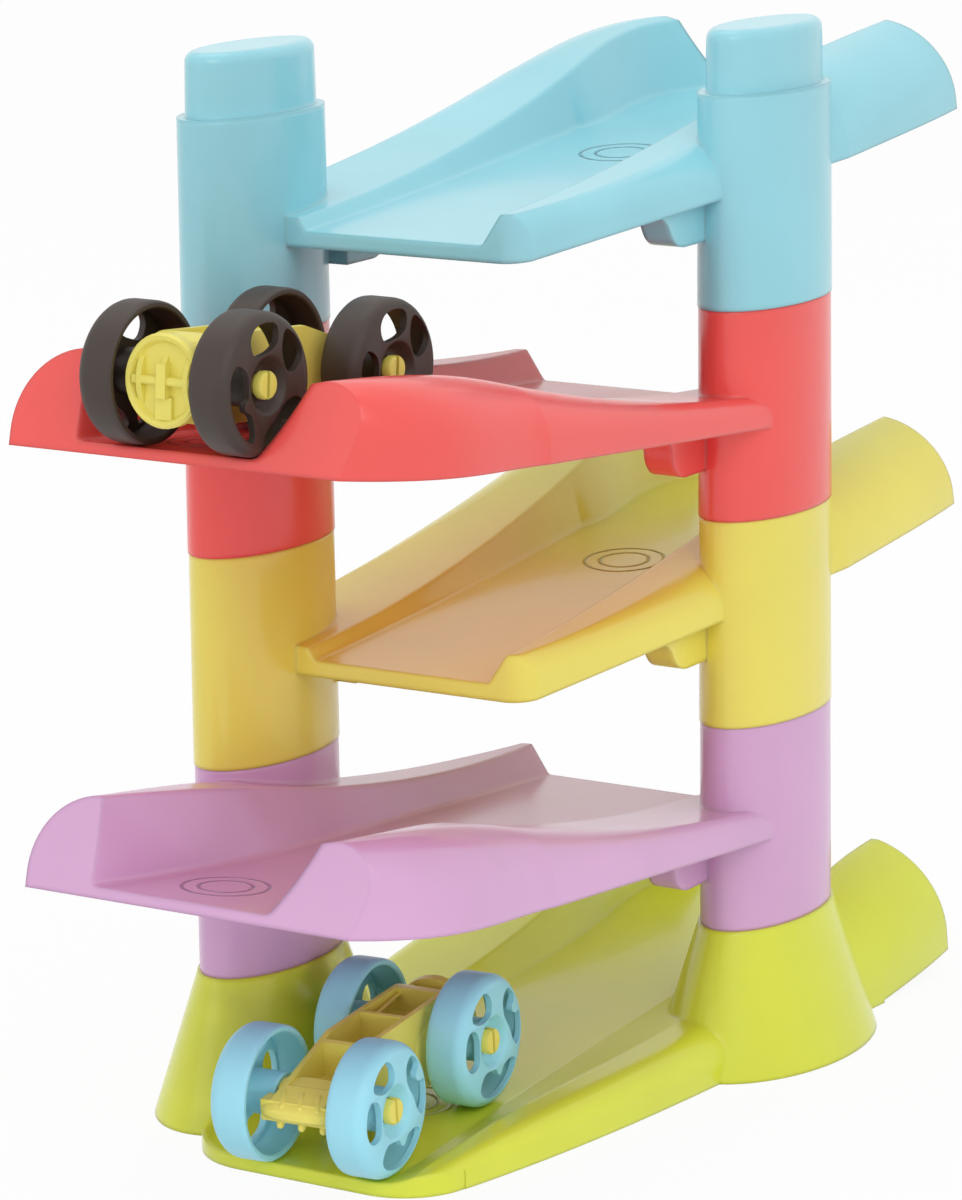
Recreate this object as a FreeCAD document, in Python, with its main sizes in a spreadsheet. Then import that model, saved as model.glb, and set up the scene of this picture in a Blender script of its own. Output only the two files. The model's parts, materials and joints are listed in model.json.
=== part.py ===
import FreeCAD, Part
import math
import os
import Sketcher
from FreeCAD import Placement, Rotation, Vector

"""A stacking toy race track with two snap-wheel cars.

Five moulded levels stand on one another. Each level has two oval columns with spigots on top and
sockets below, joined by a sloping trough that ends in an open lip. Every second level is turned half
round, so that a car drops from the low lip of one trough on to the high end of the next.

The frame: +X runs along the troughs, +Z is up, and the origin is on the ground at the middle of the
base. Lengths are in millimetres. Heights of a moulding are measured from its shoulder, the ring that
the next level stands on.
"""

DOCUMENT = "race_track"

# The driving sizes

STACK = {
    "pitch": 72.0,
    "base_height": 49.3,
    "wall": 2.4,
    "column_x": 65.0,
    "column_y": 60.3,
    "column_long": 35.0,
    "column_short": 17.8,
    "column_draft": 0.35,
    "spigot_inset": 2.9,
    "spigot_height": 21.5,
    "spigot_draft": 0.5,
    "spigot_round": 3.5,
    "socket_clearance": 0.3,
    "socket_relief": 0.8,
    "foot_long": 53.6,
    "foot_short": 33.7,
    "foot_rim": 0.7,
    "gusset_reach": 31.0,
    "gusset_flat": 12.0,
    "gusset_depth": 15.0,
    "gusset_width": 11.0,
    "gusset_shift": 10.0,
}

# A trough is drawn as a few cross-sections. floor and skirt are heights from the shoulder at the two
# ends; the columns of a station are explained in the section function.

LEVEL = {
    "level_floor_high": -17.0,
    "level_floor_low": -37.8,
    "level_skirt_high": -20.6,
    "level_skirt_low": -43.2,
    "level_lean": 8.7,
    "level_nose_x": -72.0,
    "level_nose_start": -62.0,
    "level_nose_near": 48.2,
    "level_nose_near_flat": 38.0,
    "level_nose_far": 75.0,
    "level_nose_far_flat": 65.0,
    "ridge_round": 1.0,
    "floor_round": 2.0,
}

BASE = {
    "base_floor_high": -26.0,
    "base_floor_low": -44.6,
    "base_skirt_high": -43.0,
    "base_skirt_low": -48.3,
    "base_sink": 4.0,
    "base_lean": 7.0,
    "base_nose_x": -139.5,
    "base_nose_start": -119.0,
    "base_nose_near": 50.2,
    "base_nose_near_flat": 26.0,
    "base_nose_far": 51.0,
    "base_nose_far_flat": 25.0,
}

STATION_FIELDS = (
    "place",
    "near_side",
    "near_shoulder",
    "near_crest",
    "near_rise",
    "near_top",
    "near_foot",
    "far_foot",
    "far_top",
    "far_crest",
    "far_rise",
    "far_shoulder",
    "far_side",
)

LEVEL_STATIONS = {
    "level_high": (184.5, 73.0, 28.0, 50.0, 29.0, 48.5, 48.0, 18.7, 32.0, 38.0, 25.0, 13.0, 51.0),
    "level_bend": (170.0, 73.8, 28.0, 49.0, 28.0, 46.5, 42.5, 32.0, 40.0, 45.0, 26.0, 19.0, 65.0),
    "level_corner": (150.0, 74.2, 27.0, 48.0, 26.5, 43.5, 37.0, 36.5, 43.0, 50.0, 26.0, 22.0, 72.5),
    "level_upper": (100.0, 74.0, 24.0, 46.0, 21.0, 39.0, 31.0, 34.4, 39.0, 55.4, 20.0, 18.0, 74.5),
    "level_lower": (20.0, 61.4, 12.0, 49.7, 11.5, 36.0, 30.5, 33.0, 38.0, 67.0, 8.3, 9.0, 74.5),
    "level_low": (-72.0, 46.4, 8.0, 43.0, 10.5, 39.6, 32.5, 35.3, 38.0, 70.0, 5.5, 7.0, 74.5),
}

BASE_STATIONS = {
    "base_high": (176.0, 76.0, 34.0, 50.4, 24.3, 48.5, 48.0, 18.7, 32.0, 38.0, 25.0, 13.0, 51.0),
    "base_bend": (162.0, 76.8, 33.0, 50.2, 23.0, 46.5, 42.5, 32.0, 40.0, 45.0, 26.0, 19.0, 65.0),
    "base_corner": (142.0, 77.0, 31.0, 50.0, 20.5, 45.0, 37.0, 36.5, 43.0, 50.0, 26.0, 22.0, 72.5),
    "base_upper": (124.0, 76.6, 28.0, 50.9, 16.0, 45.0, 34.4, 35.6, 41.3, 52.3, 23.0, 20.3, 73.4),
    "base_lower": (20.0, 70.5, 12.0, 57.0, 4.5, 52.0, 30.0, 32.0, 40.0, 67.0, 8.0, 9.0, 76.0),
    "base_middle": (-60.0, 62.0, 7.5, 54.0, 6.0, 47.0, 31.0, 37.0, 44.0, 60.0, 4.0, 6.0, 66.0),
    "base_low": (-140.0, 45.0, 3.0, 42.0, 1.0, 40.0, 33.0, 36.0, 39.0, 42.0, 1.0, 3.0, 45.0),
}

CAR = {
    "wheel_radius": 22.5,
    "wheel_width": 14.0,
    "wheel_rim": 2.4,
    "wheel_disc": 2.4,
    "wheel_shoulder": 4.5,
    "wheel_crown": 0.5,
    "hub_radius": 7.4,
    "hub_reach": 9.5,
    "hub_recess": 5.6,
    "hub_recess_depth": 3.0,
    "window_inner": 9.6,
    "window_outer": 17.6,
    "lug_height": 3.4,
    "lug_width": 3.0,
    "track": 44.0,
    "wheelbase": 67.0,
    "pin_radius": 3.6,
    "pin_clearance": 0.07,
    "pin_head": 4.15,
    "pin_head_length": 2.6,
    "pin_slot": 1.5,
    "pin_slot_depth": 9.0,
    "side_play": 0.3,
    "chassis_width": 20.0,
    "chassis_height": 28.0,
    "nose_height": 7.0,
    "nose_reach": 14.0,
    "nose_width": 27.0,
    "nose_length": 6.0,
    "tail_offset": 2.0,
    "wedge_run": 38.0,
    "chassis_rail": 2.0,
    "chassis_web": 2.0,
    "chassis_rib": 2.0,
    "boss_radius": 6.0,
}

# Where each car stands: place on the trough, turn from the trough's direction and tilt.

CAR_PLACES = {
    "footprint_shift": 8.083,
    "roll_gap": 0.3,
    "blue_car_x": -101.0,
    "blue_car_y": -3.0,
    "blue_car_turn": 184.0,
    "brown_car_x": -146.0,
    "brown_car_y": 4.7,
    "brown_car_turn": -2.7,
}


class Size:
    """A number together with the sheet expression that it comes from."""

    def __init__(self, value, text):
        self.value = value
        self.text = text

    def joined(self, other, value, sign, first=None):
        other_text = other.text if isinstance(other, Size) else repr(other)
        left = self.text if first is None else first
        return Size(value, "(" + left + " " + sign + " " + other_text + ")")

    def __add__(self, other):
        return self.joined(other, self.value + number(other), "+")

    def __sub__(self, other):
        return self.joined(other, self.value - number(other), "-")

    def __mul__(self, other):
        return self.joined(other, self.value * number(other), "*")

    def __truediv__(self, other):
        return self.joined(other, self.value / number(other), "/")

    def __neg__(self):
        return Size(-self.value, "(0 - " + self.text + ")")


def number(size):
    return size.value if isinstance(size, Size) else size


def root(size):
    """The square root of a size, or nought where it would be less than nought."""
    return Size(math.sqrt(max(size.value, 0.0)), "sqrt(max(" + size.text + "; 0))")


def greater(first, second):
    return Size(max(first.value, second.value), "max(" + first.text + "; " + second.text + ")")


ZERO = Size(0.0, "0")

doc = FreeCAD.newDocument(DOCUMENT)
sheet = doc.addObject("Spreadsheet::Sheet", "Sizes")
sizes = {}


def write_sizes(groups):
    """Add to the sheet, one row for each size: its name, its number and its alias."""
    row = len(sizes) + 1
    for group in groups:
        for name, value in group.items():
            sheet.set("A" + str(row), name)
            sheet.set("B" + str(row), str(value))
            sheet.setAlias("B" + str(row), name)
            sizes[name] = Size(value, "Sizes." + name)
            row += 1


def station_sizes(stations):
    """Give every field of every station its own named size."""
    named = {}
    for station, values in stations.items():
        for field, value in zip(STATION_FIELDS, values):
            named[station + "_" + field] = value
    return named


write_sizes((STACK, LEVEL, BASE, CAR, CAR_PLACES))
write_sizes((station_sizes(LEVEL_STATIONS), station_sizes(BASE_STATIONS)))
doc.recompute()


def size(name):
    return sizes[name]


# Sketch and feature helpers


def body_named(label):
    body = doc.addObject("PartDesign::Body", label)
    body.Label = label
    return body


def sketch_on(body, name, role, offset=ZERO):
    """An empty sketch on one of the body's own planes, moved along its normal."""
    sketch = body.newObject("Sketcher::SketchObject", name)
    plane = [feature for feature in body.Origin.OriginFeatures if feature.Role == role][0]
    sketch.AttachmentSupport = (plane, "")
    sketch.MapMode = "FlatFace"
    sketch.AttachmentOffset = Placement(Vector(0, 0, offset.value), Rotation())
    if offset is not ZERO:
        sketch.setExpression(".AttachmentOffset.Base.z", offset.text)
    return sketch


def drive(sketch, kind, size_value, *elements):
    """Add a dimension and tie it to the sheet."""
    index = sketch.addConstraint(Sketcher.Constraint(kind, *elements, size_value.value))
    label = "size_" + str(index)
    sketch.renameConstraint(index, label)
    sketch.setExpression("Constraints." + label, size_value.text)


def pin_point(sketch, element, point, across, up):
    drive(sketch, "DistanceX", across, -1, 1, element, point)
    drive(sketch, "DistanceY", up, -1, 1, element, point)


def arc_about(centre, start, end):
    """The shorter arc about a centre between two points."""
    angles = sorted((math.atan2(p.y - centre.y, p.x - centre.x) % (2 * math.pi)) for p in (start, end))
    if angles[1] - angles[0] > math.pi:
        angles = [angles[1] - 2 * math.pi, angles[0]]
    return Part.ArcOfCircle(Part.Circle(centre, Vector(0, 0, 1), start.distanceToPoint(centre)), *angles)


def tangent_arc(start, end, from_end):
    """The arc between two points that leaves the upright side at one of them."""
    fixed, other = (end, start) if from_end else (start, end)
    run = other.x - fixed.x
    rise = other.y - fixed.y
    radius = (run * run + rise * rise) / (2.0 * abs(run))
    return arc_about(Vector(fixed.x + math.copysign(radius, run), fixed.y, 0), start, end)


def level_arc(start, end, from_end):
    """The arc between two points that leaves the level side at one of them."""
    fixed, other = (end, start) if from_end else (start, end)
    run = other.x - fixed.x
    rise = other.y - fixed.y
    radius = (run * run + rise * rise) / (2.0 * abs(rise))
    return arc_about(Vector(fixed.x, fixed.y + math.copysign(radius, rise), 0), start, end)


def closed_outline(sketch, corners, arcs=None):
    """Sides through the corners in turn.

    arcs maps a side to the neighbouring side that it is tangent to. A corner is a pair of sizes.
    """
    arcs = arcs or {}
    first = sketch.GeometryCount
    count = len(corners)
    points = [Vector(across.value, up.value, 0) for across, up in corners]
    ends = []
    for side in range(count):
        start = points[side]
        end = points[(side + 1) % count]
        if side in arcs:
            arc = tangent_arc(start, end, arcs[side] == side + 1)
            sketch.addGeometry(arc)
            starts_first = arc.StartPoint.distanceToPoint(start) < arc.EndPoint.distanceToPoint(start)
            ends.append((1, 2) if starts_first else (2, 1))
        else:
            sketch.addGeometry(Part.LineSegment(start, end))
            ends.append((1, 2))
    for side in range(count):
        following = (side + 1) % count
        tangent = arcs.get(side) == following or arcs.get(following) == side
        kind = "Tangent" if tangent else "Coincident"
        sketch.addConstraint(
            Sketcher.Constraint(kind, first + side, ends[side][1], first + following, ends[following][0]))
    for side, (across, up) in enumerate(corners):
        pin_point(sketch, first + side, ends[side][0], across, up)


def oval(sketch, centre_x, centre_y, half_long, half_short):
    centre = Vector(centre_x.value, centre_y.value, 0)
    long_end = centre + Vector(half_long.value, 0, 0)
    short_end = centre + Vector(0, half_short.value, 0)
    ellipse = sketch.addGeometry(Part.Ellipse(long_end, short_end, centre))
    sketch.exposeInternalGeometry(ellipse)
    long_axis = ellipse + 1
    short_axis = ellipse + 2
    sketch.addConstraint(Sketcher.Constraint("Horizontal", long_axis))
    drive(sketch, "Distance", half_long * 2, long_axis)
    drive(sketch, "Distance", half_short * 2, short_axis)
    pin_point(sketch, ellipse, 3, centre_x, centre_y)


def circle(sketch, centre_x, centre_y, radius):
    middle = Vector(centre_x.value, centre_y.value, 0)
    index = sketch.addGeometry(Part.Circle(middle, Vector(0, 0, 1), radius.value))
    drive(sketch, "Radius", radius, index)
    pin_point(sketch, index, 3, centre_x, centre_y)


def rectangle(sketch, left, right, low, high):
    closed_outline(sketch, [(left, low), (right, low), (right, high), (left, high)])


def loft(body, name, sketches, cut=False, ruled=False):
    kind = "PartDesign::SubtractiveLoft" if cut else "PartDesign::AdditiveLoft"
    feature = body.newObject(kind, name)
    feature.Profile = sketches[0]
    feature.Sections = sketches[1:]
    feature.Ruled = ruled
    feature.Refine = False
    doc.recompute()
    return feature


def pad(body, name, sketch, length, both_ways=False):
    feature = body.newObject("PartDesign::Pad", name)
    feature.Profile = sketch
    feature.Length = length.value
    feature.setExpression("Length", length.text)
    feature.Midplane = both_ways
    doc.recompute()
    return feature


def pocket(body, name, sketch, length=None, both_ways=False, reverse=False):
    """Cut the sketch out of the body, to a length or right through."""
    feature = body.newObject("PartDesign::Pocket", name)
    feature.Profile = sketch
    if length is None:
        feature.Type = "ThroughAll"
    else:
        feature.Length = length.value
        feature.setExpression("Length", length.text)
    feature.Midplane = both_ways
    feature.Reversed = reverse
    doc.recompute()
    return feature


# The trough


def height_on_line(x, high, low):
    """Height on a straight line. Each of its two ends is a place and a height."""
    return low[1] + (high[1] - low[1]) * (x - low[0]) / (high[0] - low[0])


class Trough:
    """A run of stations, with the floor line of its kind and its own skirt line."""

    def __init__(self, kind, stations, skirt_high, skirt_low):
        self.kind = kind
        self.stations = list(stations)
        self.skirt_ends = (skirt_high, skirt_low)

    def field(self, station, name):
        return size(station + "_" + name)

    def floor(self, x):
        high = (size(self.kind + "_high_place"), size(self.kind + "_floor_high"))
        low = (size(self.kind + "_low_place"), size(self.kind + "_floor_low"))
        return height_on_line(x, high, low)

    def skirt(self, x):
        return height_on_line(x, *self.skirt_ends)


def trough_section(body, trough, station):
    """One cross-section of the trough, seen against +X, from the near skirt round to the far one.

    The near wall stands on -Y. near_side is its outer face, near_crest and near_top the edges of its
    top, near_foot where it meets the floor. Its outer skin leaves the upright side near_shoulder below
    the crest. The far wall has the same sizes on +Y.
    """
    def value(name):
        return trough.field(station, name)

    place = value("place")
    floor = trough.floor(place)
    skirt = trough.skirt(place)
    near_crest = floor + value("near_rise")
    far_crest = floor + value("far_rise")
    corners = [
        (-value("near_side"), skirt),
        (-value("near_side"), near_crest - value("near_shoulder")),
        (-value("near_crest"), near_crest),
        (-value("near_top"), near_crest),
        (-value("near_foot"), floor),
        (value("far_foot"), floor),
        (value("far_top"), far_crest - size("wall") * 0.5),
        (value("far_crest"), far_crest),
        (value("far_side"), far_crest - value("far_shoulder")),
        (value("far_side"), skirt),
    ]
    sketch = sketch_on(body, body.Label + "_" + station + "_section", "YZ_Plane", place)
    closed_outline(sketch, corners, {1: 0, 7: 8})
    return sketch


def core_crest(side, shoulder, crest, top, height):
    """Where the hollow is highest in a ridge, on the arc of the outer skin moved inward by the wall."""
    wall = size("wall")
    reach = side - crest
    radius = (reach * reach + shoulder * shoulder) / (reach * 2)
    middle = side - radius
    inner = radius - wall
    across = middle + root(inner * inner - (shoulder - wall) * (shoulder - wall))
    across = greater(across, top + wall)
    rise = root(inner * inner - (across - middle) * (across - middle))
    return across, height - shoulder + rise


def core_section(body, trough, station):
    """The hollow under the trough, inset by the wall from the skin."""
    def value(name):
        return trough.field(station, name)

    wall = size("wall")
    place = value("place")
    floor = trough.floor(place)
    ceiling = floor - wall
    below = trough.skirt(place) - wall
    sides = []
    for side in ("near_", "far_"):
        crest = floor + value(side + "rise")
        shoulder = value(side + "shoulder")
        skin = value(side + "side")
        across, up = core_crest(skin, shoulder, value(side + "crest"), value(side + "top"), crest)
        half_way = (value(side + "foot") + value(side + "top")) / 2 + wall
        sides.append((
            (skin - wall, below),
            (skin - wall, crest - shoulder),
            (across, up),
            (half_way, ceiling + value(side + "rise") / 2),
            (value(side + "foot") + wall, ceiling),
        ))
    near, far = sides
    corners = [(-across, up) for across, up in near] + list(reversed(far))
    sketch = sketch_on(body, body.Label + "_" + station + "_core", "YZ_Plane", place)
    closed_outline(sketch, corners, {1: 0, 7: 8})
    return sketch


def column_centres():
    """The near column stands at +X -Y and the far one at -X +Y."""
    return (
        ("near", size("column_x"), -size("column_y")),
        ("far", -size("column_x"), size("column_y")),
    )


def oval_loft(body, name, centre_x, centre_y, rings, cut=False):
    """A loft through ovals given as height, half length and half width."""
    sketches = []
    for index, (height, half_long, half_short) in enumerate(rings):
        sketch = sketch_on(body, name + "_ring_" + str(index + 1), "XY_Plane", height)
        oval(sketch, centre_x, centre_y, half_long, half_short)
        sketches.append(sketch)
    return loft(body, name, sketches, cut, ruled=True)


def edges_at_height(shape, height, centre_x, centre_y, reach):
    """Names of the closed edges at one height round a column."""
    names = []
    for index, edge in enumerate(shape.Edges):
        box = edge.BoundBox
        flat = abs(box.ZMin - height) < 0.01 and abs(box.ZMax - height) < 0.01
        near = abs(box.Center.x - centre_x) < 1.0 and abs(box.Center.y - centre_y) < 1.0
        if flat and near and box.XLength > reach:
            names.append("Edge" + str(index + 1))
    return names


def round_edges(body, name, base, names, radius):
    feature = body.newObject("PartDesign::Fillet", name)
    feature.Base = (base, names)
    feature.Radius = radius.value
    feature.setExpression("Radius", radius.text)
    doc.recompute()
    return feature


def cut_beyond_line(body, name, foot, crest, reach):
    """Cut off all that lies past a leaning line, seen from the near side. A point is a pair of sizes."""
    sketch = sketch_on(body, name, "XZ_Plane")
    closed_outline(sketch, [foot, (foot[0] + reach, foot[1]), (foot[0] + reach, crest[1] + reach), crest])
    return pocket(body, name + "_cut", sketch, both_ways=True)


def end_line(trough, depth):
    """Foot and top of the high end's face, moved in by a depth: it leans back from the foot of the skirt."""
    end = trough.field(trough.stations[0], "place") - depth
    foot = trough.skirt(end) - depth
    crest = trough.floor(end) + trough.field(trough.stations[0], "near_rise")
    return (end, foot), (end - size(trough.kind + "_lean"), crest)


def lean_end(body, trough, name):
    foot, crest = end_line(trough, ZERO)
    return cut_beyond_line(body, name, foot, crest, size("wall") * 4)


def hollow(body, trough, name, low_place=None, closed_high=True):
    """Hollow the trough from below, through the same stations, and leave a wall at its ends."""
    core = body_named(name)
    loft(core, name + "_loft", [core_section(core, trough, station) for station in trough.stations])
    wall = size("wall")
    if closed_high:
        foot, crest = end_line(trough, wall)
        cut_beyond_line(core, name + "_high_end", foot, crest, wall * 8)
    if low_place is not None:
        low = trough.skirt(low_place) - wall * 2
        cut_beyond_line(core, name + "_low_end", (low_place, low), (low_place, size("wall")), -wall * 16)
    cut = body.newObject("PartDesign::Boolean", name + "_cut")
    cut.Type = "Cut"
    cut.setObjects([core])
    doc.recompute()
    return cut


def add_columns(body, label, bottom, long_foot, short_foot, long_top, short_top):
    """Two oval columns from a height up to the shoulder, with their spigots."""
    inset = size("spigot_inset")
    draft = size("spigot_draft")
    for side, x, y in column_centres():
        oval_loft(body, label + "_" + side + "_column", x, y, [
            (bottom, long_foot, short_foot),
            (ZERO, long_top, short_top),
        ])
        long_spigot = size("column_long") - size("column_draft") - inset
        short_spigot = size("column_short") - size("column_draft") - inset
        oval_loft(body, label + "_" + side + "_spigot", x, y, [
            (-size("wall"), long_spigot, short_spigot),
            (size("spigot_height"), long_spigot - draft, short_spigot - draft),
        ])


def hollow_columns(body, label, bottom, long_foot, short_foot, relief):
    """Bore each column from below up to the top wall of its spigot."""
    wall = size("wall")
    inset = size("spigot_inset") + size("column_draft") + size("spigot_draft") + wall
    long_top = size("column_long") - inset
    short_top = size("column_short") - inset
    top = size("spigot_height") - wall
    for side, x, y in column_centres():
        rings = [(bottom, long_foot, short_foot)] + relief + [(top, long_top, short_top)]
        oval_loft(body, label + "_" + side + "_bore", x, y, rings, cut=True)


def web_outline(sketch, face, heel, tip, drop, top_face, top_tip, under_tip):
    """A web whose lower edge runs level from the column, then up to its tip in an S of two arcs."""
    middle_x = (heel + tip) / 2
    middle_z = (drop + under_tip) / 2
    corners = [(face, drop), (heel, drop), (middle_x, middle_z)]
    corners += [(tip, under_tip), (tip, top_tip), (face, top_face)]
    points = [Vector(across.value, up.value, 0) for across, up in corners]
    shapes = [
        Part.LineSegment(points[0], points[1]),
        level_arc(points[1], points[2], False),
        level_arc(points[2], points[3], True),
        Part.LineSegment(points[3], points[4]),
        Part.LineSegment(points[4], points[5]),
        Part.LineSegment(points[5], points[0]),
    ]
    ends = []
    for index, shape in enumerate(shapes):
        sketch.addGeometry(shape)
        corner = points[index]
        forward = shape.StartPoint.distanceToPoint(corner) < shape.EndPoint.distanceToPoint(corner)
        ends.append((1, 2) if forward else (2, 1))
    for index in range(len(shapes)):
        following = (index + 1) % len(shapes)
        kind = "Tangent" if index in (0, 1) else "Coincident"
        sketch.addConstraint(Sketcher.Constraint(kind, index, ends[index][1], following, ends[following][0]))
    for index, (across, up) in enumerate(corners):
        pin_point(sketch, index, ends[index][0], across, up)


def add_gussets(body, label, trough):
    """A web under the trough on the inner side of each column, with an S-shaped lower edge."""
    half_width = size("gusset_width") / 2
    for side, x, y in column_centres():
        inward = -1 if side == "near" else 1
        middle = y - size("gusset_shift") * inward
        sketch = sketch_on(body, label + "_" + side + "_gusset_outline", "XZ_Plane", -middle - half_width)
        face = x + (size("column_long") - size("wall") * 1.5) * inward
        heel = x + (size("column_long") + size("gusset_flat")) * inward
        tip = x + (size("column_long") + size("gusset_reach")) * inward
        drop = trough.skirt(face) - size("gusset_depth")
        buried = size("wall")
        web_outline(sketch, face, heel, tip, drop,
                    trough.skirt(face) + buried, trough.skirt(tip) + buried, trough.skirt(tip))
        pad(body, label + "_" + side + "_gusset", sketch, half_width * 2)


def round_spigots(body, label):
    """Round the top rim of each spigot and soften the shoulder ring."""
    for side, x, y in column_centres():
        base = body.Tip
        height = size("spigot_height").value
        top = edges_at_height(base.Shape, height, x.value, y.value, size("column_short").value)
        round_edges(body, label + "_" + side + "_spigot_round", base, top, size("spigot_round"))


def round_low_end(body, kind):
    """Cut the low end to a blunt nose with two rounded corners, seen from above."""
    def nose(name):
        return size(kind + "_nose_" + name)

    end = nose("x")
    clear = size("base_height")
    sketch = sketch_on(body, body.Label + "_nose_outline", "XY_Plane")
    closed_outline(sketch, [
        (nose("start"), -nose("near")),
        (end, -nose("near_flat")),
        (end, nose("far_flat")),
        (nose("start"), nose("far")),
        (nose("start"), nose("far") + clear),
        (end - clear, nose("far") + clear),
        (end - clear, -nose("near") - clear),
        (nose("start"), -nose("near") - clear),
    ], {0: 1, 2: 1})
    return pocket(body, body.Label + "_nose", sketch, both_ways=True)


def add_trough(body, label, high_part, low_part):
    """Two smooth lofts that meet at one station, with the high end leaned back, hollowed from below."""
    kind = high_part.kind
    for name, part in (("_low", low_part), ("_high", high_part)):
        sections = [trough_section(body, part, station) for station in part.stations]
        loft(body, label + name + "_trough", sections)
    lean_end(body, high_part, label + "_end")
    round_low_end(body, kind)
    low_place = size(kind + "_nose_start") + size("wall")
    hollow(body, low_part, label + "_low_core", low_place, closed_high=False)
    hollow(body, high_part, label + "_high_core")


def level_body(label):
    """One of the four equal levels."""
    skirt_high = (size("level_high_place"), size("level_skirt_high"))
    skirt_low = (size("level_low_place"), size("level_skirt_low"))
    stations = list(LEVEL_STATIONS)
    high_part = Trough("level", stations[:4], skirt_high, skirt_low)
    trough = Trough("level", stations[3:], skirt_high, skirt_low)
    body = body_named(label)
    add_trough(body, label, high_part, trough)
    add_gussets(body, label, trough)
    bottom = -size("pitch")
    draft = size("column_draft")
    long_column = size("column_long")
    short_column = size("column_short")
    add_columns(body, label, bottom, long_column, short_column, long_column - draft, short_column - draft)
    clearance = size("socket_clearance")
    long_socket = long_column - draft - size("spigot_inset") + clearance
    short_socket = short_column - draft - size("spigot_inset") + clearance
    seat_top = bottom + size("spigot_height") + size("socket_relief")
    taper = size("spigot_draft")
    relief = [(seat_top, long_socket - taper, short_socket - taper)]
    hollow_columns(body, label, bottom, long_socket, short_socket, relief)
    round_spigots(body, label)
    round_trough(body, label, (high_part, trough))
    return body


def nearest_edge(shape, point):
    vertex = Part.Vertex(point)
    distances = [edge.distToShape(vertex)[0] for edge in shape.Edges]
    return "Edge" + str(distances.index(min(distances)) + 1)


def round_trough(body, label, parts):
    """Round the inner edges of both ridges and the long corners of the floor."""
    tops = []
    feet = []
    for trough in parts:
        station = trough.stations[2 if trough.stations[0].endswith("high") else 1]
        place = trough.field(station, "place").value
        floor = trough.floor(trough.field(station, "place")).value
        for side, sign in (("near", -1), ("far", 1)):
            rise = trough.field(station, side + "_rise").value
            tops.append(Vector(place, sign * trough.field(station, side + "_top").value, floor + rise))
            feet.append(Vector(place, sign * trough.field(station, side + "_foot").value, floor))
    for name, points in (("ridge_round", tops), ("floor_round", feet)):
        base = body.Tip
        names = sorted({nearest_edge(base.Shape, point) for point in points})
        round_edges(body, label + "_" + name, base, names, size(name))


def base_body(label):
    """The lowest level: its columns flare into hollow feet and its trough runs down to the ground."""
    sunk = -size("base_height") - size("base_sink")
    stations = list(BASE_STATIONS)
    joint = size("base_upper_place")
    skirt_high = (size("base_high_place"), size("base_skirt_high"))
    high_part = Trough("base", stations[:4], skirt_high, (joint, size("base_skirt_low")))
    low_part = Trough("base", stations[3:], (joint, sunk), (size("base_low_place"), sunk))
    body = body_named(label)
    add_trough(body, label, high_part, low_part)
    add_feet(body, label, sunk - size("base_sink"))
    sketch = sketch_on(body, label + "_ground", "XY_Plane", -size("base_height"))
    reach = size("base_high_place") * 2
    rectangle(sketch, -reach, reach, -reach, reach)
    pocket(body, label + "_ground_cut", sketch)
    round_spigots(body, label)
    return body


def add_feet(body, label, bottom):
    """Columns that flare to the ground, drawn on down to a lower height so that they can be cut flat."""
    wall = size("wall")
    long_top = size("column_long") + size("foot_rim")
    short_top = size("column_short") + size("foot_rim")
    stretch = bottom / -size("base_height")
    long_foot = long_top + (size("foot_long") - long_top) * stretch
    short_foot = short_top + (size("foot_short") - short_top) * stretch
    add_columns(body, label, bottom, long_foot, short_foot, long_top, short_top)
    neck = [(-wall, long_top - wall * 2, short_top - wall * 2)]
    hollow_columns(body, label, bottom, long_foot - wall, short_foot - wall, neck)


# The cars


def arc_slot(sketch, radius, half_width, start_degrees, end_degrees):
    """A slot that follows a circle about the middle, between two angles, with round ends."""
    start = math.radians(start_degrees)
    end = math.radians(end_degrees)
    normal = Vector(0, 0, 1)
    middle = Vector(0, 0, 0)
    cap_end = Vector(radius.value * math.cos(end), radius.value * math.sin(end), 0)
    cap_start = Vector(radius.value * math.cos(start), radius.value * math.sin(start), 0)
    inner_radius = radius.value - half_width.value
    outer_radius = radius.value + half_width.value
    outer = sketch.addGeometry(Part.ArcOfCircle(Part.Circle(middle, normal, outer_radius), start, end))
    first_cap = sketch.addGeometry(
        Part.ArcOfCircle(Part.Circle(cap_end, normal, half_width.value), end, end + math.pi))
    inner = sketch.addGeometry(Part.ArcOfCircle(Part.Circle(middle, normal, inner_radius), start, end))
    last_cap = sketch.addGeometry(
        Part.ArcOfCircle(Part.Circle(cap_start, normal, half_width.value), start + math.pi, start + 2 * math.pi))
    sketch.addConstraint(Sketcher.Constraint("Tangent", outer, 2, first_cap, 1))
    sketch.addConstraint(Sketcher.Constraint("Tangent", first_cap, 2, inner, 2))
    sketch.addConstraint(Sketcher.Constraint("Tangent", inner, 1, last_cap, 1))
    sketch.addConstraint(Sketcher.Constraint("Tangent", last_cap, 2, outer, 1))
    sketch.addConstraint(Sketcher.Constraint("Coincident", outer, 3, -1, 1))
    sketch.addConstraint(Sketcher.Constraint("Coincident", inner, 3, -1, 1))
    pin_point(sketch, first_cap, 3, radius * math.cos(end), radius * math.sin(end))
    if abs(math.sin(start)) > abs(math.cos(start)):
        drive(sketch, "DistanceX", radius * math.cos(start), -1, 1, last_cap, 3)
    else:
        drive(sketch, "DistanceY", radius * math.sin(start), -1, 1, last_cap, 3)
    drive(sketch, "Radius", half_width, first_cap)


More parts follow.
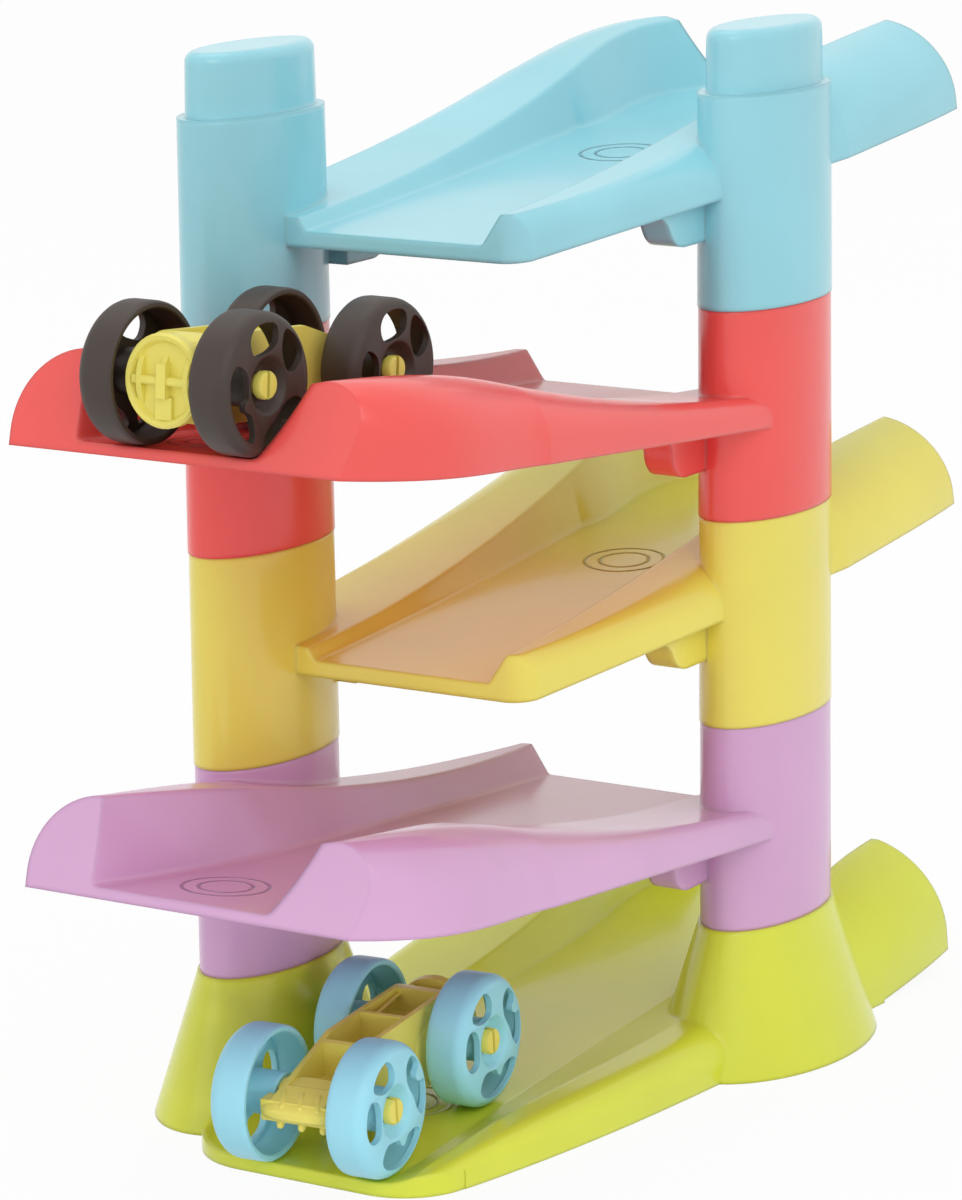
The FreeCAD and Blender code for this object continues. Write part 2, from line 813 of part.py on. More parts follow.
def radial_block(sketch, inner, outer, half_width, degrees):
    """A small rectangle standing along a radius at an angle."""
    along = (math.cos(math.radians(degrees)), math.sin(math.radians(degrees)))
    corners = []
    for radius, sideways in ((inner, -1), (outer, -1), (outer, 1), (inner, 1)):
        across = radius * along[0] - half_width * (sideways * along[1])
        up = radius * along[1] + half_width * (sideways * along[0])
        corners.append((across, up))
    closed_outline(sketch, corners)


LARGE_WINDOWS = ((20.0, 74.0), (-70.0, -16.0))
SMALL_WINDOWS = ((120.0, 134.0), (188.0, 206.0))


def wheel_body(label):
    """A cup-shaped wheel on a long hub, with four windows in its face. Its axle is the Y axis."""
    body = body_named(label)
    half = size("wheel_width") / 2
    radius = size("wheel_radius")
    rim = radius - size("wheel_rim")
    bore = size("pin_radius") + size("pin_clearance")
    floor = half - size("hub_recess_depth")
    inside = half - size("wheel_disc")
    sketch = sketch_on(body, label + "_profile", "XY_Plane")
    closed_outline(sketch, [
        (rim, -half),
        (radius - size("wheel_crown"), -half),
        (radius, -half + size("wheel_crown") * 4),
        (radius, half - size("wheel_shoulder")),
        (radius - size("wheel_shoulder"), half),
        (size("hub_recess"), half),
        (size("hub_recess"), floor),
        (bore, floor),
        (bore, -size("hub_reach")),
        (size("hub_radius"), -size("hub_reach")),
        (size("hub_radius"), inside),
        (rim, inside),
    ], {3: 2})
    turn = body.newObject("PartDesign::Revolution", label + "_turned")
    turn.Profile = sketch
    turn.ReferenceAxis = (sketch, ["V_Axis"])
    turn.Angle = 360.0
    doc.recompute()
    middle = (size("window_inner") + size("window_outer")) / 2
    half_width = (size("window_outer") - size("window_inner")) / 2
    windows = sketch_on(body, label + "_windows", "XZ_Plane")
    for start, end in LARGE_WINDOWS + SMALL_WINDOWS:
        arc_slot(windows, middle, half_width, start, end)
    pocket(body, label + "_window_cut", windows)
    lugs = sketch_on(body, label + "_lugs", "XZ_Plane", -half)
    for start, end in LARGE_WINDOWS:
        lug_inner = size("window_outer") - size("lug_height")
        radial_block(lugs, lug_inner, size("window_outer") + size("wheel_crown"), size("lug_width") / 2, (start + end) / 2)
    pad(body, label + "_lug_pad", lugs, size("wheel_disc"))
    return body


def chassis_body(label):
    """A ribbed wedge with a round tail, a wide nose bar and four split pins that carry the wheels."""
    body = body_named(label)
    half_base = size("wheelbase") / 2
    half_height = size("chassis_height") / 2
    half_nose = size("nose_height") / 2
    nose = half_base + size("nose_reach")
    tail = -half_base - size("tail_offset")
    ridge = nose - size("wedge_run")
    sketch = sketch_on(body, label + "_side", "XZ_Plane")
    closed_outline(sketch, [
        (tail, -half_height),
        (ridge, -half_height),
        (nose, -half_nose),
        (nose, half_nose),
        (ridge, half_height),
        (tail, half_height),
    ])
    pad(body, label + "_wedge", sketch, size("chassis_width"), both_ways=True)
    sketch = sketch_on(body, label + "_tail_circle", "XZ_Plane")
    circle(sketch, tail, ZERO, half_height)
    pad(body, label + "_tail", sketch, size("chassis_width"), both_ways=True)
    sketch = sketch_on(body, label + "_nose_outline", "XZ_Plane")
    rectangle(sketch, nose - size("nose_length"), nose, -half_nose, half_nose)
    pad(body, label + "_nose", sketch, size("nose_width"), both_ways=True)
    hollow_chassis(body, label, ridge, tail, nose)
    cross_tail(body, label, tail)
    add_pins(body, label)
    return body


def hollow_chassis(body, label, ridge, tail, nose):
    """Open cells above and below the middle web, parted by cross ribs."""
    rail = size("chassis_rail")
    rib = size("chassis_rib")
    side = size("chassis_width") / 2 - rail
    front = nose - size("nose_length") - rail
    step = (front - tail) / 3
    for above in (True, False):
        face = "top" if above else "bottom"
        offset = size("chassis_web") / 2 if above else -(size("chassis_web") / 2)
        sketch = sketch_on(body, label + "_" + face + "_cells", "XY_Plane", offset)
        for cell in range(3):
            rectangle(sketch, tail + step * cell + rib / 2, tail + step * (cell + 1) - rib / 2, -side, side)
        pocket(body, label + "_" + face + "_hollow", sketch, reverse=above)


def cross_tail(body, label, tail):
    """Four recesses in the tail, which leave a cross standing between them."""
    rib = size("chassis_rib") / 2
    rail = size("chassis_rail")
    side = size("chassis_width") / 2 - rail
    reach = size("chassis_height") / 2
    end = tail - reach
    sketch = sketch_on(body, label + "_cross", "YZ_Plane", end)
    for across in (-1, 1):
        for up in (-1, 1):
            inner = (rib * across, rib * up)
            outer = (side * across, (reach - rail * 2) * up)
            left, right = sorted((inner[0], outer[0]), key=number)
            low, high = sorted((inner[1], outer[1]), key=number)
            rectangle(sketch, left, right, low, high)
    pocket(body, label + "_cross_cut", sketch, reach - rib * 2, reverse=True)


def add_pins(body, label):
    """Axle bosses across the chassis, and a split pin with a snap head at each end of them."""
    half_track = size("track") / 2
    half_wheel = size("wheel_width") / 2
    boss = half_track - size("hub_reach") - size("side_play")
    head_start = half_track + half_wheel - size("hub_recess_depth") + size("side_play")
    tip = head_start + size("pin_head_length")
    places = (size("wheelbase") / 2, -(size("wheelbase") / 2))
    parts = (("boss", size("boss_radius"), boss), ("pin", size("pin_radius"), tip))
    for name, radius, reach in parts:
        sketch = sketch_on(body, label + "_" + name + "_circles", "XZ_Plane")
        for place in places:
            circle(sketch, place, ZERO, radius)
        pad(body, label + "_" + name + "s", sketch, reach * 2, both_ways=True)
    for side in (-1, 1):
        name = label + ("_left" if side > 0 else "_right")
        inner_plane = -head_start if side > 0 else tip
        sketch = sketch_on(body, name + "_head_circles", "XZ_Plane", inner_plane)
        for place in places:
            circle(sketch, place, ZERO, size("pin_head"))
        head = pad(body, name + "_heads", sketch, size("pin_head_length"))
        head.Reversed = True
        doc.recompute()
        slot = sketch_on(body, name + "_slots", "XZ_Plane", -tip if side > 0 else tip)
        half_slot = size("pin_slot") / 2
        for place in places:
            rectangle(slot, place - half_slot, place + half_slot, -size("pin_head") * 2, size("pin_head") * 2)
        pocket(body, name + "_slot_cut", slot, size("pin_slot_depth"), reverse=side > 0)


def finish(bodies):
    """Check every object, then write each piece to its own file."""
    doc.recompute()
    for item in doc.Objects:
        bad = [word for word in item.State if word in ("Invalid", "Error")]
        if bad:
            raise RuntimeError(item.Name + " is " + ", ".join(bad))
    os.makedirs("parts", exist_ok=True)
    for body in bodies:
        shape = body.Shape
        if shape.isNull() or not shape.isValid():
            raise RuntimeError(body.Label + " has no valid shape")
        print(body.Label, round(shape.Volume / 1000.0, 2), "cm3", len(shape.Solids), "solid")
        shape.exportStep("parts/" + body.Label + ".step")


def rotation_text(axis, degrees):
    return "rotation(vector(" + axis + "); " + degrees + ")"


def place_text(across, along, up, turns):
    """A placement for an expression: a point, then turns applied from the last one to the first."""
    point = "vector(" + across + "; " + along + "; " + up + ")"
    return "placement(" + point + "; " + " * ".join(turns) + ")"


def copy_of(master, label, placement):
    """Another piece of the same shape, placed by an expression that follows the sheet."""
    body = doc.addObject("PartDesign::Body", label)
    body.Label = label
    base = body.newObject("PartDesign::FeatureBase", label + "_shape")
    base.BaseFeature = master
    body.Tip = base
    body.setExpression("Placement", placement)
    doc.recompute()
    return body


def level_placement(index):
    """The place of one level in the stack, every second one turned half way round."""
    height = size("base_height") + size("pitch") * index
    turn = "180" if index % 2 else "0"
    return place_text(size("footprint_shift").text, "0", height.text, [rotation_text("0; 0; 1", turn)])


def car_placement(name, trough, level_height, turned_level):
    """Stand the car on the floor of a trough, its wheels a small gap above that plane."""
    side = -1 if turned_level else 1
    x = size(name + "_x")
    high_x = size(trough + "_high_place")
    low_x = size(trough + "_low_place")
    rise = size(trough + "_floor_high") - size(trough + "_floor_low")
    floor = size(trough + "_floor_low") + rise * (x * side - low_x) / (high_x - low_x)
    slope = "atan((" + rise.text + ") / (" + (high_x - low_x).text + "))"
    radius = (size("wheel_radius") + size("roll_gap")).text
    across = (size("footprint_shift") + x).text + " - " + str(side) + " * " + radius + " * sin(" + slope + ")"
    up = (level_height + floor).text + " + " + radius + " * cos(" + slope + ")"
    tilt = rotation_text("0; 1; 0", str(-side) + " * " + slope)
    turn = rotation_text("0; 0; 1", size(name + "_turn").text)
    return place_text(across, size(name + "_y").text, up, [tilt, turn])


def car(name, wheel, chassis, placement):
    """A chassis and its four wheels, which are named from the driver's point of view."""
    bodies = [copy_of(chassis, name + "_chassis", placement)]
    half_base = size("wheelbase") / 2
    half_track = size("track") / 2
    for end, along in (("front", half_base), ("rear", -half_base)):
        for side, across, turn in (("left", half_track, "0"), ("right", -half_track, "180")):
            label = name + "_" + end + "_" + side + "_wheel"
            local = place_text(along.text, across.text, "0", [rotation_text("0; 0; 1", turn)])
            bodies.append(copy_of(wheel, label, name + "_chassis.Placement * " + local))
    return bodies


# The stack of levels and the two cars

wheel_master = wheel_body("wheel")
chassis_master = chassis_body("chassis")
level_master = level_body("level")
base = base_body("green_base")
base.setExpression("Placement", level_placement(0))
pieces = [base]
for index, colour in enumerate(("purple", "yellow", "red", "blue")):
    pieces.append(copy_of(level_master, colour + "_level", level_placement(index + 1)))
red_height = size("base_height") + size("pitch") * 3
pieces += car("blue_car", wheel_master, chassis_master,
              car_placement("blue_car", "base", size("base_height"), False))
pieces += car("brown_car", wheel_master, chassis_master,
              car_placement("brown_car", "level", red_height, True))
finish(pieces)
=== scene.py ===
import json
import math

import bmesh
import bpy
from mathutils import Matrix, Vector
from mathutils.geometry import tessellate_polygon


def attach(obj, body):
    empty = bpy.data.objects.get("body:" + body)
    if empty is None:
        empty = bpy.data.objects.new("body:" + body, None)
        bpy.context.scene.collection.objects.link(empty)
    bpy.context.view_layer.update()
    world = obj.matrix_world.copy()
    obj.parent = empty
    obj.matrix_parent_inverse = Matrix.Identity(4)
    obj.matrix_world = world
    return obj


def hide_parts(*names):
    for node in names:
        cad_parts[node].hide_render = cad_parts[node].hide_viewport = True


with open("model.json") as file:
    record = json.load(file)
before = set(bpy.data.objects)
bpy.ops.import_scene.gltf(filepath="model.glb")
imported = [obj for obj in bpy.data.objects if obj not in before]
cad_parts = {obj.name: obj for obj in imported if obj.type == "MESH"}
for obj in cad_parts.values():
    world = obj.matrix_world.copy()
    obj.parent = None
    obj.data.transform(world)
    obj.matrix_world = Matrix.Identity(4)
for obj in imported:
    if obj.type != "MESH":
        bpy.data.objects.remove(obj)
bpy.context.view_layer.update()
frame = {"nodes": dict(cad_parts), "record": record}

scene = bpy.context.scene
scene.view_settings.view_transform = "Standard"


# Materials

MOTTLE_SCALE = 22.0
MOTTLE_DETAIL = 3.0
MOTTLE_LOW, MOTTLE_HIGH = 0.3, 0.7
DARK_SHARE, LIGHT_SHARE = 0.965, 1.025
SMOOTH_SHARE, ROUGH_SHARE = 0.88, 1.12
SKIN_GRAIN = 0.0005
SKIN_DETAIL = 2.0
SKIN_STRENGTH = 0.05
SKIN_HEIGHT = 0.0001
EDGE_SAMPLES = 8
COAT_ROUGHNESS = 0.06
GLOW_WEIGHT = 0.04
GLOW_DEPTH = (0.004, 0.003, 0.003)

# The levels' roughness times ROUGH_SHARE stays under 0.27, above which the denoiser draws patches.
LEVEL_ROUGHNESS = 0.24
LEVEL_COAT = 0.15
LEVEL_EDGE = 0.0026
CAR_ROUGHNESS = 0.4
BROWN_ROUGHNESS = 0.52
CAR_EDGE = 0.0004

LEVEL_COLOURS = {
    "lime_plastic": (0.69, 0.74, 0.045),
    "lilac_plastic": (0.66, 0.375, 0.62),
    "yellow_plastic": (0.84, 0.735, 0.115),
    "coral_plastic": (0.90, 0.095, 0.085),
    "blue_plastic": (0.30, 0.67, 0.76),
}
CAR_COLOURS = {
    "car_yellow_plastic": (0.83, 0.73, 0.14),
    "blue_wheel_plastic": (0.32, 0.71, 0.84),
    "brown_wheel_plastic": (0.046, 0.030, 0.022),
}

# Two plain raised rings stand in up to two places on each floor, each place counted from the middle between
# the columns, which lies at MIDDLE_X. Every other level is turned half way round.
RING_RADII = (0.014, 0.0087)
RING_WIDTH = 0.0011
RING_RELIEF = 0.0005
RING_PROFILE = ((-0.00055, -0.00006), (-0.0003, 0.00012), (0.0003, 0.00012), (0.00055, -0.00006))
RING_PLACES = ((0.068, -0.002), (0.157, -0.014))
BASE_RING_PLACE = (-0.075, -0.002)
MIDDLE_X = 0.008083
ABOVE_ALL = 1.0


def link(tree, source, output, target, name):
    """Join one node's named output to another node's named input."""
    tree.links.new(source.outputs[output], target.inputs[name])


def joined(tree, kind, operation, *values):
    """A maths node; each value is a number, a vector or another node's output."""
    node = tree.nodes.new(kind)
    node.operation = operation
    for socket, value in zip(node.inputs, values):
        if hasattr(value, "is_linked"):
            tree.links.new(value, socket)
        else:
            socket.default_value = value
    return node


def noise(tree, place, scale, detail):
    """A noise texture that stays with the object."""
    node = tree.nodes.new("ShaderNodeTexNoise")
    node.inputs["Scale"].default_value = scale
    node.inputs["Detail"].default_value = detail
    link(tree, place, "Object", node, "Vector")
    return node


def relief_on(tree, below, strength, distance):
    """A bump node that starts from the normal of the node below it."""
    node = tree.nodes.new("ShaderNodeBump")
    node.inputs["Strength"].default_value = strength
    node.inputs["Distance"].default_value = distance
    link(tree, below, "Normal", node, "Normal")
    return node


def ring_height(tree, place, centres):
    """A height of nought, but one along the plain round ridges about each centre, seen from above."""
    flat = joined(tree, "ShaderNodeVectorMath", "MULTIPLY", place, (1.0, 1.0, 0.0))
    total = None
    for centre in centres:
        reach = joined(tree, "ShaderNodeVectorMath", "DISTANCE", flat.outputs["Vector"], (*centre, 0.0))
        for radius in RING_RADII:
            off = joined(tree, "ShaderNodeMath", "SUBTRACT", reach.outputs["Value"], radius)
            off = joined(tree, "ShaderNodeMath", "ABSOLUTE", off.outputs["Value"])
            flank = tree.nodes.new("ShaderNodeMapRange")
            flank.interpolation_type = "SMOOTHSTEP"
            flank.inputs["From Max"].default_value = RING_WIDTH
            flank.inputs["To Min"].default_value = 1.0
            flank.inputs["To Max"].default_value = 0.0
            link(tree, off, "Value", flank, "Value")
            height = flank.outputs["Result"]
            if total is None:
                total = height
            else:
                total = joined(tree, "ShaderNodeMath", "MAXIMUM", total, height).outputs["Value"]
    return total


def plastic(name, colour, roughness, edge, coat=0.0, rings=()):
    """Moulded plastic: a faint mottled tone, a fine skin texture and softly rounded edges."""
    material = bpy.data.materials.new(name)
    material.use_nodes = True
    tree = material.node_tree
    nodes = tree.nodes
    shader = nodes["Principled BSDF"]
    place = nodes.new("ShaderNodeTexCoord")
    cloud = noise(tree, place, MOTTLE_SCALE, MOTTLE_DETAIL)
    tone = nodes.new("ShaderNodeValToRGB")
    low, high = tone.color_ramp.elements
    low.position = MOTTLE_LOW
    low.color = (*(part * DARK_SHARE for part in colour), 1.0)
    high.position = MOTTLE_HIGH
    high.color = (*(min(1.0, part * LIGHT_SHARE) for part in colour), 1.0)
    link(tree, cloud, "Fac", tone, "Fac")
    link(tree, tone, "Color", shader, "Base Color")
    gloss = nodes.new("ShaderNodeMapRange")
    gloss.inputs["From Min"].default_value = MOTTLE_LOW
    gloss.inputs["From Max"].default_value = MOTTLE_HIGH
    gloss.inputs["To Min"].default_value = roughness * SMOOTH_SHARE
    gloss.inputs["To Max"].default_value = roughness * ROUGH_SHARE
    link(tree, cloud, "Fac", gloss, "Value")
    link(tree, gloss, "Result", shader, "Roughness")
    rounding = nodes.new("ShaderNodeBevel")
    rounding.samples = EDGE_SAMPLES
    rounding.inputs["Radius"].default_value = edge
    relief = relief_on(tree, rounding, SKIN_STRENGTH, SKIN_HEIGHT)
    link(tree, noise(tree, place, 1.0 / SKIN_GRAIN, SKIN_DETAIL), "Fac", relief, "Height")
    if rings:
        relief = relief_on(tree, relief, 1.0, RING_RELIEF)
        tree.links.new(ring_height(tree, place.outputs["Object"], rings), relief.inputs["Height"])
    link(tree, relief, "Normal", shader, "Normal")
    shader.inputs["Coat Weight"].default_value = coat
    shader.inputs["Coat Roughness"].default_value = COAT_ROUGHNESS
    shader.inputs["Subsurface Weight"].default_value = GLOW_WEIGHT
    shader.inputs["Subsurface Radius"].default_value = GLOW_DEPTH
    return material


rings_ahead = tuple((MIDDLE_X + x, y) for x, y in RING_PLACES)
rings_back = tuple((MIDDLE_X - x, -y) for x, y in RING_PLACES)
RINGS = {
    "lilac_plastic": rings_back,
    "coral_plastic": rings_back,
    "yellow_plastic": rings_ahead,
    "blue_plastic": rings_ahead,
    "lime_plastic": ((MIDDLE_X + BASE_RING_PLACE[0], BASE_RING_PLACE[1]),),
}
materials = {}
for slot, colour in LEVEL_COLOURS.items():
    materials[slot] = plastic(slot, colour, LEVEL_ROUGHNESS, LEVEL_EDGE, LEVEL_COAT, RINGS[slot])
for slot, colour in CAR_COLOURS.items():
    roughness = BROWN_ROUGHNESS if slot == "brown_wheel_plastic" else CAR_ROUGHNESS
    materials[slot] = plastic(slot, colour, roughness, CAR_EDGE)

slots = {piece["node"]: piece["material_slot"] for piece in frame["record"]["subparts"]}
for node, piece in frame["nodes"].items():
    piece.data.materials.clear()
    piece.data.materials.append(materials[slots[node]])


# Rounded parts of the two cars, drawn in millimetres: x ahead, y left, z up from the axles

MILLIMETRE = 0.001
SHARP_ANGLE = math.radians(38.0)
WHEEL_AHEAD = 33.5
WHEEL_ASIDE = 22.0

# The nose: place, half width, lowest and highest point of each section
NOSE = ((33.0, 10.6, -8.4, 7.2), (39.0, 12.3, -6.2, 5.8), (44.5, 13.4, -4.6, 4.4), (48.0, 12.8, -3.2, 3.0),
        (49.6, 10.4, -1.6, 1.2))
NOSE_POWER = 3.2
NOSE_STEPS = 28

# The nose's ribs and the studs below it: the place of each across, and the x and z of where all start and end
RIB_PLACES = (-7.5, -1.0, 5.5)
RIB_START, RIB_END = (42.0, 4.4), (47.6, 2.4)
RIB_SLANT = 2.4
RIB_RADIUS = 1.15
STUD_PLACES = (-8.0, 0.0, 8.0)
STUD_START, STUD_END = (44.0, -3.6), (45.0, -5.6)
STUD_RADIUS = 1.3

# The side walls: place, half width and half height of each section
BARREL = ((-47.0, 14.5, 14.5), (-40.0, 14.2, 14.6), (-32.0, 13.3, 14.5), (-23.0, 11.8, 14.3),
          (-14.0, 10.3, 14.1))
BARREL_REACH = math.radians(58.0)
BARREL_STEPS = 6
BARREL_WALL = 2.0
BARREL_LIP = 0.6

# The tail: radius and place along the dish, and the lowest and highest corner of each bar of the cross
TAIL_DISH = ((11.6, -47.2), (12.6, -49.0), (13.9, -49.5), (14.7, -48.4), (14.5, -45.0))
TAIL_BARS = (((-49.3, -11.9, -1.3), (-46.5, 11.9, 1.3)), ((-50.0, -1.9, -5.4), (-46.5, 1.9, 5.4)),
             ((-48.4, -3.2, -12.0), (-46.5, 3.2, -5.0)))
TAIL_STEPS = 40

# The rounded end of a bar: how far out each section stands and how wide it is, as shares of the radius
CAPSULE_END = ((0.0, 1.0), (0.7, 0.71), (1.0, 0.05))
CAPSULE_STEPS = 14

# The wheel: radius and height along the axle, over the tread and through the hub
WHEEL_TREAD = ((20.3, 6.45), (21.15, 5.7), (21.9, 4.7), (22.35, 3.6), (22.5, 2.5), (22.5, -5.0),
               (22.3, -6.4), (21.8, -7.0), (20.6, -7.0), (20.1, -6.5), (20.1, 4.1))
WHEEL_HUB = ((8.9, 6.8), (8.5, 6.3), (7.5, 4.9), (6.6, 3.8), (5.7, 3.2), (4.1, 3.2), (3.7, 2.8),
             (3.7, -9.2), (4.0, -9.5), (7.1, -9.5), (7.4, -9.2))
FACE_HEIGHT = 7.0
FACE_DROP = 0.28
FACE_INSIDE = 4.6
FACE_OUTER, FACE_INNER = 19.6, 9.3
BACK_OUTER, BACK_INNER = 20.0, 7.4
SHOULDER_START = 18.0
SHOULDER_RADIUS = 4.5
SHOULDER_HEIGHT = 2.5
CIRCLE_STEPS = 72
CORNER_CUTS = (0.25, 0.75)

# The windows in a wheel's face, as distance from the middle and angle, with the lugs that reach into
# the two large ones
WHEEL_WINDOWS = (
    ((9.8, 92), (14.6, 90), (19.2, 101), (19.6, 113), (19.6, 126), (19.0, 142), (13.2, 138), (9.9, 122)),
    ((19.2, 153), (14.0, 146), (10.6, 158), (9.8, 178), (11.4, 207), (16.8, 202), (19.4, 190), (19.6, 172)),
    ((18.8, 56), (19.5, 46), (19.6, 33), (16.2, 31), (14.9, 24), (16.2, 17), (19.6, 15), (19.6, 3),
     (19.5, -12), (17.4, -24), (13.4, -16), (11.4, 6), (9.9, 26), (10.6, 46), (14.6, 60)),
    ((10.6, -122), (9.9, -98), (10.2, -84), (12.9, -81), (13.6, -72), (11.9, -61), (12.6, -50), (16.0, -37),
     (19.4, -37), (19.6, -58), (19.6, -84), (19.5, -112), (18.2, -129), (13.0, -130)),
)

# The head of an axle pin: radius and height, on either side of the slot
PIN_CAP = ((4.0, 3.6), (4.45, 4.0), (4.45, 6.4), (4.0, 7.0))
PIN_HALF_SLOT = 0.75
PIN_STEPS = 16


def full_turn(steps):
    """Evenly spread angles, once round."""
    return [2 * math.pi * step / steps for step in range(steps)]


def bridge(mesh, first, second):
    """Join two closed loops of equally many corners."""
    for index in range(len(first)):
        following = (index + 1) % len(first)
        mesh.faces.new((first[index], first[following], second[following], second[index]))


def skin_over(mesh, sections):
    """Join closed sections of equally many points in turn and close the two ends."""
    loops = [[mesh.verts.new(point) for point in section] for section in sections]
    for first, second in zip(loops, loops[1:]):
        bridge(mesh, first, second)
    mesh.faces.new(loops[0])
    mesh.faces.new(loops[-1])


def box_between(mesh, low, high):
    """A box from its lowest corner to its highest."""
    skin_over(mesh, [[(x, low[1], low[2]), (x, high[1], low[2]), (x, high[1], high[2]), (x, low[1], high[2])]
                     for x in (low[0], high[0])])


def rounded_section(x, half_width, low, high):
    """A rounded box seen along x."""
    points = []
    for angle in full_turn(NOSE_STEPS):
        across, rise = math.cos(angle), math.sin(angle)
        across = math.copysign(abs(across) ** (2 / NOSE_POWER), across) * half_width
        rise = math.copysign(abs(rise) ** (2 / NOSE_POWER), rise) * (high - low) / 2 + (high + low) / 2
        points.append((x, across, rise))
    return points


def capsule(mesh, start, end, radius):
    """A round-ended bar."""
    start, end = Vector(start), Vector(end)
    along = (end - start).normalized()
    side = along.orthogonal().normalized()
    other = along.cross(side)
    circles = [(start - along * place * radius, share * radius) for place, share in reversed(CAPSULE_END)]
    circles += [(end + along * place * radius, share * radius) for place, share in CAPSULE_END]
    skin_over(mesh, [[middle + side * reach * math.cos(a) + other * reach * math.sin(a)
                      for a in full_turn(CAPSULE_STEPS)] for middle, reach in circles])


def bar_across(mesh, start, end, across, slant, radius):
    """A round-ended bar between two places given as x and z, at a place across and slanting to one side."""
    capsule(mesh, (start[0], across, start[1]), (end[0], across + slant, end[1]), radius)


def nose_mesh(mesh):
    """The rounded nose, with slanted ribs on top and studs below."""
    skin_over(mesh, [rounded_section(*section) for section in NOSE])
    for across in RIB_PLACES:
        bar_across(mesh, RIB_START, RIB_END, across, RIB_SLANT, RIB_RADIUS)
    for across in STUD_PLACES:
        bar_across(mesh, STUD_START, STUD_END, across, 0.0, STUD_RADIUS)


def tail_mesh(mesh):
    """A round dish with a raised rim and a cross in it."""
    loops = []
    for angle in full_turn(TAIL_STEPS):
        loops.append([mesh.verts.new((x, radius * math.cos(angle), radius * math.sin(angle)))
                      for radius, x in TAIL_DISH])
    for loop, following in zip(loops, loops[1:] + loops[:1]):
        for place in range(len(loop) - 1):
            mesh.faces.new((loop[place], following[place], following[place + 1], loop[place + 1]))
    mesh.faces.new([loop[0] for loop in loops])
    mesh.faces.new([loop[-1] for loop in loops])
    for low, high in TAIL_BARS:
        box_between(mesh, low, high)


def barrel_mesh(mesh):
    """Bulging side walls that run from the tail into the straight rails."""
    for side in (-1, 1):
        sections = []
        for x, half_width, half_height in BARREL:
            outer, inner = [], []
            for step in range(-BARREL_STEPS, BARREL_STEPS + 1):
                angle = BARREL_REACH * step / BARREL_STEPS
                across, rise = math.cos(angle), math.sin(angle)
                outer.append((x, side * half_width * across, half_height * rise))
                inner.append((x, side * (half_width - BARREL_WALL) * across,
                              (half_height - BARREL_LIP) * rise))
            sections.append(outer + inner[::-1])
        skin_over(mesh, sections)


def rounded_corners(points, rounds=2):
    """A closed outline with its corners cut, and then the new corners too."""
    for _ in range(rounds):
        cut = []
        for index, point in enumerate(points):
            following = points[(index + 1) % len(points)]
            for share in CORNER_CUTS:
                cut.append(tuple(a + (b - a) * share for a, b in zip(point, following)))
        points = cut
    return points


def ring_of(mesh, radius, height):
    """Corners all the way round the axle."""
    return [mesh.verts.new((radius * math.cos(a), radius * math.sin(a), height))
            for a in full_turn(CIRCLE_STEPS)]


def face_height(x, y):
    """The height of a wheel's outer face, which curves down towards the tread."""
    beyond = max(0.0, math.hypot(x, y) - SHOULDER_START)
    return SHOULDER_HEIGHT + math.sqrt(SHOULDER_RADIUS ** 2 - beyond ** 2)


def wheel_mesh(mesh):
    """A cup-shaped wheel: x and y lie in its face and z points outwards along the axle."""
    outlines = []
    for window in WHEEL_WINDOWS:
        corners = [(r * math.cos(math.radians(a)), r * math.sin(math.radians(a))) for r, a in window]
        outlines.append(rounded_corners(corners))
    outer_rims = ((FACE_OUTER, FACE_HEIGHT - FACE_DROP), (FACE_INNER, FACE_HEIGHT))
    inner_rims = ((BACK_OUTER, FACE_INSIDE), (BACK_INNER, FACE_INSIDE))
    faces = []
    for rims, outside in ((outer_rims, True), (inner_rims, False)):
        loops = [ring_of(mesh, *rim) for rim in rims]
        for outline in outlines:
            loops.append([mesh.verts.new((x, y, face_height(x, y) if outside else FACE_INSIDE))
                          for x, y in outline])
        flat = [[Vector((vert.co.x, vert.co.y, 0.0)) for vert in loop] for loop in loops]
        every = [vert for loop in loops for vert in loop]
        for triangle in tessellate_polygon(flat):
            mesh.faces.new([every[index] for index in triangle])
        faces.append(loops)
    outside, inside = faces
    for outer, inner in zip(outside[2:], inside[2:]):
        bridge(mesh, outer, inner)
    for profile, which in ((WHEEL_TREAD, 0), (WHEEL_HUB, 1)):
        rings = [outside[which]] + [ring_of(mesh, *point) for point in profile] + [inside[which]]
        for first, second in zip(rings, rings[1:]):
            bridge(mesh, first, second)


def cap_mesh(mesh):
    """The slotted head of an axle pin, in two halves with the slot between them."""
    for side in (-1, 1):
        sections = []
        for radius, height in PIN_CAP:
            reach = math.acos(PIN_HALF_SLOT / radius)
            angles = [-reach + 2 * reach * step / PIN_STEPS for step in range(PIN_STEPS + 1)]
            sections.append([(side * radius * math.cos(a), radius * math.sin(a), height) for a in angles])
        skin_over(mesh, sections)


def car_place(car):
    """The car's own axes, from the places of its four wheel joints."""
    hubs = {joint["child"][len(car) + 1:]: Vector(joint["pos_m"])
            for joint in frame["record"]["behaviour"]["joints"]
            if joint["type"] == "hinge" and joint["child"].startswith(car)}
    front = (hubs["front_left_wheel"] + hubs["front_right_wheel"]) / 2
    rear = (hubs["rear_left_wheel"] + hubs["rear_right_wheel"]) / 2
    across = (hubs["front_left_wheel"] - hubs["front_right_wheel"]).normalized()
    ahead = (front - rear).normalized()
    above = ahead.cross(across)
    axes = Matrix((ahead, across, above)).transposed().to_4x4()
    return Matrix.Translation((front + rear) / 2) @ axes @ Matrix.Scale(MILLIMETRE, 4)


